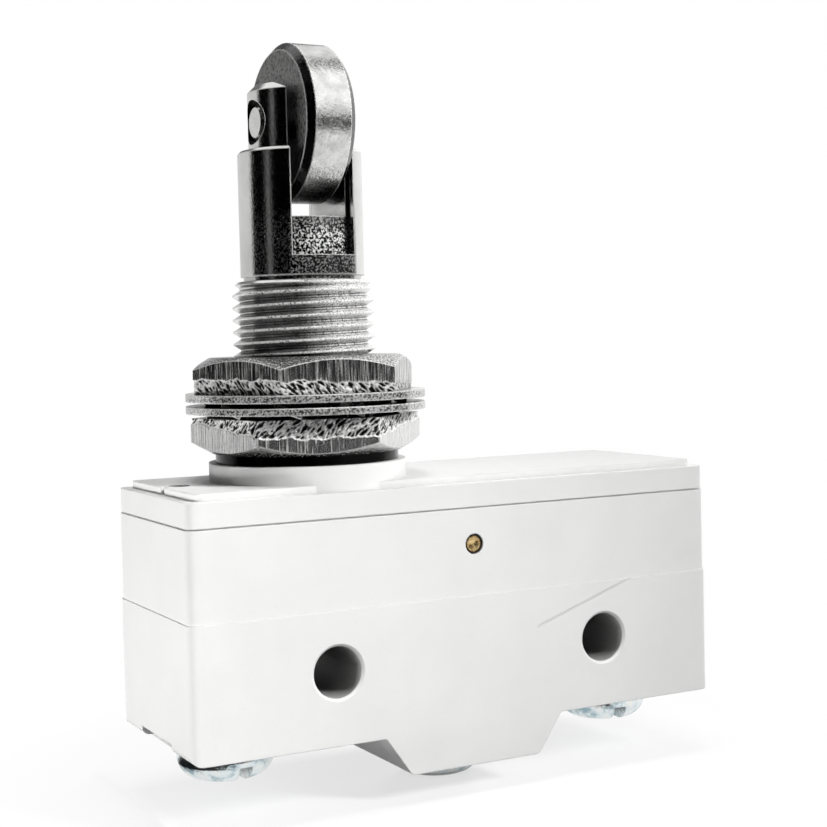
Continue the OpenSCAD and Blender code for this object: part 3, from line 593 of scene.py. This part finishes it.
def thread_wear(f, specks, above_thread, colour, light):
    """Colour and light parts of a thread: roots and the flange below painted black as shade, broken light
    crests from wear and painted highlight, and flanks painted lighter and matt on the right-hand side as
    painted light.
    """
    height = f.marked(THREAD_MARK)
    # Flange below the thread painted black as the shade under the nut
    above_flange = f.along("Z", THREAD_LOW - FLANGE_FADE, THREAD_LOW + FLANGE_FADE, 0.0, 1.0)
    # Painted light: flanks lighter and matt towards the right
    bright = f.math("MULTIPLY", above_flange, f.along("X", PAINTED_LIGHT_LEFT, PAINTED_LIGHT_RIGHT, 0.2, 1.0))
    flecks = f.math("MULTIPLY", f.ramp(specks, (0.36, 0.1), (0.52, 1.0)), bright)
    broken = f.ramp(specks, (0.36, 0.2), (0.52, 1.0))
    # Crests lighter in broken lines, as wear and painted highlight
    crest = f.math("MULTIPLY", f.ramp(height, (0.75, 0.0), (1.0, 0.8)), broken)
    matt = f.math("SUBTRACT", f.math("MAXIMUM", crest, flecks), above_thread)
    # Thread roots painted black as shade
    root = f.ramp(height, (0.02, 1.0), (0.26, 0.0))
    dark = f.math("MAXIMUM", root, f.math("SUBTRACT", 1.0, above_flange))
    return f.mix(dark, colour, BLACK), f.math("SUBTRACT", f.math("MAXIMUM", light, matt), root)


def turned_nickel(name, glint_share, threaded):
    """Turned and plated metal with painted shade and painted glints where the slot is, painted shade in its
    gaps, and a thread with wear, painted light and painted shade, or spot faces painted dark as shade.
    """
    f = Finish(name, Metallic=1.0)
    clouds = f.grain(2.5 * MM, detail=3)
    rings = f.grain(0.16 * MM, detail=2, stretch=(60, 60, 1))
    specks = f.grain(0.17 * MM, detail=3)
    above_thread = f.along("Z", THREAD_HIGH - THREAD_FADE, THREAD_HIGH + THREAD_FADE, 0.0, 1.0)
    slot_shade = painted_slot_shade(f, above_thread)
    plate = f.spread(clouds, (0.70, 0.70, 0.69), (0.80, 0.80, 0.79))
    # Painted shade where the slot is, and painted glints in it
    colour = f.mix(f.math("MULTIPLY", slot_shade, 0.85), plate, (0.05, 0.05, 0.05))
    glint_zone = f.math("MULTIPLY", slot_shade, glint_share)
    glints = f.math("MULTIPLY", f.ramp(specks, (0.48, 0.0), (0.56, 1.0)), glint_zone)
    edge = f.math("MULTIPLY", f.soft_edges(0.14 * MM), above_thread)
    light = f.math("MAXIMUM", edge, glints)
    f.bump(rings, 0.0015 * MM)
    f.bump(specks, 0.012 * MM)
    if threaded:
        colour, light = thread_wear(f, specks, above_thread, colour, light)
    else:
        # Spot faces painted black as shade
        spot_face = f.math("LESS_THAN", f.off_line(middle_of("roller_axle"), (0, 1, 1)), SPOT_FACE_R)
        colour = f.mix(spot_face, colour, BLACK)
        light = f.math("SUBTRACT", light, spot_face)
    colour = f.painted_gap_shade(colour, METAL_PAINTED_SHADE, METAL_REACH, TURNED_GAP)
    return worn_and_highlit(f, light, colour, f.ramp(specks, (0.35, 0.10), (0.75, 0.24)))


def stamped_nickel(name, dark, streaks):
    """Stamped metal whose smooth sides go from a dark tone to light, with a share of matt streaks, light
    sheared peaks and painted shade in its gaps; the dark tone and the streaks' share are set for each nut as
    painted shade and painted light.
    """
    f = Finish(name, Metallic=1.0)
    drawn = f.grain(0.14 * MM, detail=3, stretch=(1, 1, 20))
    depth = f.marked(SHEAR_MARK)
    torn = f.ramp(depth, (0.02, 0.0), (0.08, 1.0))
    smooth = f.ramp(drawn, (0.38, (dark, dark, dark)), (0.60, (0.88, 0.88, 0.87)))
    lines = f.ramp(drawn, (0.54, 0.0), (0.68, streaks))
    ragged = f.ramp(depth, (0.30, 0.95), (0.65, 0.60), (1.0, 0.03))
    peaks = f.ramp(depth, (0.06, 0.0), (0.20, 0.95), (0.55, 0.55), (0.76, 0.0))
    light = f.math("MAXIMUM", f.soft_edges(0.14 * MM), lines)
    edge = f.math("MULTIPLY", light, f.math("SUBTRACT", 1.0, torn))
    f.bump(drawn, 0.040 * MM)
    f.bump(f.grain(0.14 * MM, detail=2), 0.008 * MM)
    colour = f.painted_gap_shade(f.mix(torn, smooth, ragged), METAL_PAINTED_SHADE, METAL_REACH, METAL_GAP)
    return worn_and_highlit(f, f.math("MAXIMUM", edge, peaks), colour, f.spread(drawn, 0.16, 0.30))


def rolled_nickel():
    """Rolled and plated sheet, whose cut rim is painted dark as shade, with light specks."""
    f = Finish("rolled_nickel", Metallic=1.0)
    clouds = f.grain(1.2 * MM, detail=4)
    specks = f.grain(0.18 * MM, detail=2)
    sheet = f.spread(clouds, (0.68, 0.68, 0.67), (0.82, 0.82, 0.81))
    cut = f.math("LESS_THAN", f.facing("Z"), 0.5)
    edge = f.soft_edges(0.21 * MM)
    f.bump(specks, 0.010 * MM)
    # Cut rim painted dark as shade
    colour = f.painted_gap_shade(f.mix(cut, sheet, (0.08, 0.08, 0.08)), METAL_PAINTED_SHADE, METAL_REACH, METAL_GAP)
    rim = f.math("MULTIPLY", cut, f.ramp(specks, (0.38, 0.16), (0.56, 0.65)))
    return worn_and_highlit(f, f.math("MAXIMUM", edge, rim), colour, f.spread(clouds, 0.14, 0.28))


def sintered_steel():
    """Sintered steel, pitted on its faces, painted dark on its chamfers as shade and ground bright on its
    tread.
    """
    f = Finish("sintered_steel", Metallic=1.0)
    facing = f.facing("X")
    on_face = f.math("GREATER_THAN", facing, 0.9)
    on_chamfer = f.math("GREATER_THAN", facing, 0.3)
    pores = f.grain(0.26 * MM, detail=3)
    clouds = f.grain(1.1 * MM, detail=4)
    pitted = f.ramp(
        pores, (0.36, (0.03, 0.03, 0.03)), (0.48, (0.20, 0.20, 0.197)), (0.75, (0.36, 0.36, 0.355)),
    )
    ground = f.spread(clouds, (0.54, 0.54, 0.535), (0.80, 0.80, 0.79))
    edge = f.soft_edges(0.18 * MM)
    f.bump(pores, 0.022 * MM)
    matt = f.math("ADD", f.math("MULTIPLY", on_face, 0.12), f.math("MULTIPLY", pores, 0.45))
    # Chamfers painted dark as shade
    colour = f.mix(on_face, f.mix(on_chamfer, ground, (0.10, 0.10, 0.10)), pitted)
    return worn_and_highlit(f, edge, f.painted_gap_shade(colour, METAL_PAINTED_SHADE, METAL_REACH, METAL_GAP), matt)


def zinc_plate():
    """Bright zinc plate with bluish clouds, painted shade in its gaps, and edges lighter from wear and
    painted highlight.
    """
    f = Finish("zinc_plate", Metallic=1.0)
    clouds = f.grain(1.3 * MM, detail=3)
    specks = f.grain(0.35 * MM, detail=3)
    colour = f.ramp(
        clouds, (0.34, (0.30, 0.42, 0.47)), (0.50, (0.72, 0.79, 0.81)), (0.70, (0.84, 0.85, 0.82)),
    )
    edge = f.soft_edges(0.12 * MM)
    f.bump(specks, 0.040 * MM)
    # Painted shade in gaps, such as under the heads
    colour = f.painted_gap_shade(colour, METAL_PAINTED_SHADE, METAL_REACH, SCREW_GAP)
    return worn_and_highlit(f, edge, colour, f.spread(specks, 0.12, 0.26))


def strip_metal(name, dark, light):
    """Rolled strip or drawn pin of a coloured metal, from a dark to a light tone."""
    f = Finish(name, Metallic=1.0)
    drawn = f.grain(0.15 * MM, detail=3, stretch=(8, 1, 1))
    clouds = f.grain(1.0 * MM, detail=3)
    f.soft_edges(0.06 * MM)
    f.bump(drawn, 0.004 * MM)
    return f.done(f.spread(clouds, dark, light), f.spread(drawn, 0.20, 0.34))


def pin_brass():
    """Brass pin whose end is dished in the middle and painted dark round its rim as shade."""
    f = Finish("pin_brass", Metallic=1.0)
    low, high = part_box("cover_pin")
    from_middle = f.off_line(middle_of("cover_pin"), (1, 0, 1))
    share = f.math("DIVIDE", from_middle, (high.x - low.x) / 2)
    marks = f.grain(0.25 * MM, detail=3)
    face = f.ramp(marks, (0.35, (0.42, 0.24, 0.08)), (0.62, (0.86, 0.66, 0.34)))
    # Rim painted dark as the shade of the gap round the pin
    rim = f.ramp(share, (0.72, 0.0), (0.84, 1.0))
    f.bump(f.ramp(share, (0.1, 0.0), (0.6, 1.0)), 0.12 * MM)
    f.bump(marks, 0.03 * MM)
    return f.done(f.mix(rim, face, (0.04, 0.03, 0.02)), f.spread(marks, 0.20, 0.36))


def dress(material, *names):
    """Gives pieces or CAD nodes one material."""
    for name in names:
        mesh = bpy.data.objects[name].data
        mesh.materials.clear()
        mesh.materials.append(material)


def seen_directly(tree):
    """1 for camera, reflected and transmitted rays, and 0 for the rays that light surfaces."""
    path = tree.nodes.new("ShaderNodeLightPath")
    seen = path.outputs["Is Camera Ray"]
    for name in ("Is Glossy Ray", "Is Transmission Ray"):
        either = tree.nodes.new("ShaderNodeMath")
        either.operation = "MAXIMUM"
        tree.links.new(seen, either.inputs[0])
        tree.links.new(path.outputs[name], either.inputs[1])
        seen = either.outputs["Value"]
    return seen


def white_world(ambient):
    """White surround for the camera and reflections, and a soft ambient light for the surfaces."""
    world = bpy.data.worlds.new("studio")
    world.use_nodes = True
    bpy.context.scene.world = world
    tree = world.node_tree
    lit = tree.nodes["Background"]
    lit.inputs["Color"].default_value = WHITE
    lit.inputs["Strength"].default_value = ambient
    white = tree.nodes.new("ShaderNodeBackground")
    white.inputs["Color"].default_value = WHITE
    white.inputs["Strength"].default_value = 1.0
    both = tree.nodes.new("ShaderNodeMixShader")
    tree.links.new(seen_directly(tree), both.inputs["Fac"])
    tree.links.new(lit.outputs["Background"], both.inputs[1])
    tree.links.new(white.outputs["Background"], both.inputs[2])
    tree.links.new(both.outputs["Shader"], tree.nodes["World Output"].inputs["Surface"])


def pale_floor(bounce, shadow_share, shadow_reach):
    """Round pale floor that shows a faint shadow near the object and is white further out."""
    turns = [2 * math.pi * i / FLOOR_STEPS for i in range(FLOOR_STEPS)]
    points = [(0, 0, FLOOR_Z)]
    points += [(FLOOR_REACH * math.cos(turn), FLOOR_REACH * math.sin(turn), FLOOR_Z) for turn in turns]
    faces = [(0, 1 + i, 1 + (i + 1) % FLOOR_STEPS) for i in range(FLOOR_STEPS)]
    floor = mesh_piece("floor", points, faces, CARD_SHARP)
    f = Finish("pale_floor", Roughness=0.9)
    f.shader.inputs["Base Color"].default_value = (bounce, bounce, bounce, 1)
    pale = f.node("ShaderNodeBsdfDiffuse")
    pale.inputs["Color"].default_value = FLOOR_COLOUR
    white = f.node("ShaderNodeEmission")
    distance = f.node("ShaderNodeVectorMath", operation="LENGTH")
    f.link(f.place, distance.inputs[0])
    far_share = f.math("DIVIDE", distance.outputs["Value"], shadow_reach)
    shown = f.node("ShaderNodeMixShader")
    f.link(f.ramp(far_share, (0.0, 1 - shadow_share), (1.0, 1.0)), shown.inputs["Fac"])
    f.link(pale.outputs["BSDF"], shown.inputs[1])
    f.link(white.outputs["Emission"], shown.inputs[2])
    both = f.node("ShaderNodeMixShader")
    f.link(seen_directly(f.tree), both.inputs["Fac"])
    f.link(f.shader.outputs["BSDF"], both.inputs[1])
    f.link(shown.outputs["Shader"], both.inputs[2])
    f.link(both.outputs["Shader"], f.tree.nodes["Material Output"].inputs["Surface"])
    dress(f.material, "floor")


def around(azimuth, height, distance):
    """Point at an azimuth from the camera's side, positive to the right, a height and a distance."""
    angle = math.radians(azimuth) - CAMERA_AZIMUTH
    return Vector((AXIS_X + distance * math.sin(angle), -distance * math.cos(angle), height))


def hide_from(piece, *rays):
    """Keeps a lamp or a card out of some kinds of rays."""
    for ray in rays:
        setattr(piece, "visible_" + ray, False)


def soft_light(name, azimuth, height, distance, width, tall, watts):
    """Studio light aimed level or down at the object, from an azimuth, a height and a distance."""
    data = bpy.data.lights.new(name, "AREA")
    data.shape = "RECTANGLE"
    data.size = width
    data.size_y = tall
    data.energy = watts
    lamp = bpy.data.objects.new(name, data)
    bpy.context.scene.collection.objects.link(lamp)
    hide_from(lamp, "camera", "glossy")
    lamp.location = around(azimuth, height, distance)
    target = Vector((AXIS_X, 0, min(height, 0.0)))
    lamp.rotation_euler = (target - lamp.location).to_track_quat("-Z", "Y").to_euler()
    return lamp


def felt(name, shade):
    """Even shade that takes no light."""
    f = Finish(name + "_felt", Roughness=1.0)
    f.shader.inputs["Base Color"].default_value = (0, 0, 0, 1)
    f.shader.inputs["Specular IOR Level"].default_value = 0.0
    f.shader.inputs["Emission Color"].default_value = (shade, shade, shade, 1)
    f.shader.inputs["Emission Strength"].default_value = 1.0
    return f.done()


def shadow_card(name, corners):
    """Card that shows only by the shade it casts."""
    piece = mesh_piece(name, corners, [(0, 1, 2, 3)], CARD_SHARP)
    hide_from(piece, "camera", "diffuse", "glossy", "transmission")
    dress(felt(name, 0.0), name)


def lamp_flag(name, lamp, share, edge, size):
    """Upright card part of the way to a lamp, that shades the object from an edge towards its right."""
    target = Vector((AXIS_X, 0, 0))
    middle = target.lerp(lamp.location, share)
    right = (target - lamp.location).cross(Vector((0, 0, 1))).normalized()
    shadow_card(name, [
        tuple(middle + right * side + Vector((0, 0, rise)))
        for side, rise in ((edge, -size), (edge + size, -size), (edge + size, size), (edge, size))
    ])


def end_flag(name, low, high):
    """Upright card beside the left end of the case, that shades what lies behind it between two heights."""
    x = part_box("case")[0].x - END_FLAG_GAP
    shadow_card(name, [
        (x, side * END_FLAG_HALF, z)
        for side, z in ((-1, low), (1, low), (1, high), (-1, high))
    ])


def even_steps(first, last):
    """Even steps across a card from a first to a last value."""
    return [first + (last - first) * i / (CARD_STEPS - 1) for i in range(CARD_STEPS)]


def reflected(name, shade, points):
    """Sheet of one shade that is seen only in reflections, from a square grid of points."""
    side = CARD_STEPS
    faces = [
        (i * side + k, (i + 1) * side + k, (i + 1) * side + k + 1, i * side + k + 1)
        for i in range(side - 1)
        for k in range(side - 1)
    ]
    piece = mesh_piece(name, points, faces, CARD_SHARP)
    hide_from(piece, "camera", "diffuse", "shadow", "transmission")
    dress(felt(name, shade), name)


def card(name, shade, start, stop, low, high):
    """Curved card between two azimuths and two elevations in degrees."""
    points = []
    for turn in even_steps(start, stop):
        for elevation in even_steps(low, high):
            rise = math.radians(elevation)
            height = CARD_Z + CARD_DISTANCE * math.sin(rise)
            points.append(tuple(around(turn, height, CARD_DISTANCE * math.cos(rise))))
    reflected(name, shade, points)


def floor_card(name, shade, start, stop, near, far):
    """Flat card just above the floor between two azimuths in degrees and two distances."""
    reflected(name, shade, [
        tuple(around(turn, FLOOR_CARD_Z, distance))
        for turn in even_steps(start, stop)
        for distance in even_steps(near, far)
    ])


def photo_camera():
    """Camera where the photo was taken from."""
    data = bpy.data.cameras.new("camera")
    data.sensor_width = SENSOR
    data.lens = SENSOR * FOCAL_PIXELS / FRAME_PIXELS
    data.clip_start = CAMERA_NEAR
    camera = bpy.data.objects.new("camera", data)
    bpy.context.scene.collection.objects.link(camera)
    level = Vector((math.cos(CAMERA_AZIMUTH), -math.sin(CAMERA_AZIMUTH), 0))
    forward = Vector((
        math.sin(CAMERA_AZIMUTH) * math.cos(CAMERA_DROP),
        math.cos(CAMERA_AZIMUTH) * math.cos(CAMERA_DROP),
        -math.sin(CAMERA_DROP),
    ))
    down = forward.cross(level)
    right = level * math.cos(CAMERA_ROLL) - down * math.sin(CAMERA_ROLL)
    up = -(level * math.sin(CAMERA_ROLL) + down * math.cos(CAMERA_ROLL))
    turn = Matrix((right, up, -forward)).transposed()
    camera.matrix_world = Matrix.Translation(CAMERA_PLACE) @ turn.to_4x4()
    bpy.context.scene.camera = camera


# Pieces that replace plain solids
threaded_bushing()
stamped_nut("stamped_upper_nut", "upper_nut", chamfer_up=True, band=UPPER_BAND)
stamped_nut("stamped_lower_nut", "lower_nut", chamfer_up=False, band=LOWER_BAND)
coiled_spring()

# Finishes of the pieces and of the CAD nodes
dress(grey_plastic(), "case", "cover")
dress(turned_nickel("turned_bushing", glint_share=0.4, threaded=True), "threaded_bushing", "bushing")
dress(turned_nickel("turned_plunger", glint_share=1.0, threaded=False), "roller_plunger")
# Lit and shaded copies of one finish: a dark tone and a streak share set for each nut as painted shade and
# painted light
dress(stamped_nickel("upper_nickel", dark=0.12, streaks=0.22), "stamped_upper_nut", "upper_nut")
dress(stamped_nickel("lower_nickel", dark=0.78, streaks=0.60), "stamped_lower_nut", "lower_nut")
dress(rolled_nickel(), "toothed_washer", "plain_washer")
dress(sintered_steel(), "roller")
dress(
    zinc_plate(), "common_screw", "normally_open_screw", "normally_closed_screw",
    "common_spring_washer", "normally_open_spring_washer", "normally_closed_spring_washer",
)
for name, dark, light, wearers in STRIP_METALS:
    dress(strip_metal(name, dark, light), *wearers)
dress(pin_brass(), "cover_pin")
dress(dark_plastic(), "button")

# Studio
bpy.context.scene.view_settings.view_transform = "Standard"
photo_camera()
white_world(ambient=0.05)
pale_floor(bounce=0.18, shadow_share=0.45, shadow_reach=0.043)
lamps = {lamp[0]: soft_light(*lamp) for lamp in LAMPS}
end_flag("skirt_flag", FLOOR_Z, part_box("common_terminal")[0].z)
end_flag("boss_flag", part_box("cover")[1].z - BOSS_FLAG_DROP, THREAD_LOW)
lamp_flag("front_flag", lamps["front_softbox"], share=0.51, edge=0.0130, size=0.16)
for values in CARDS:
    card(*values)
for values in FLOOR_CARDS:
    floor_card(*values)
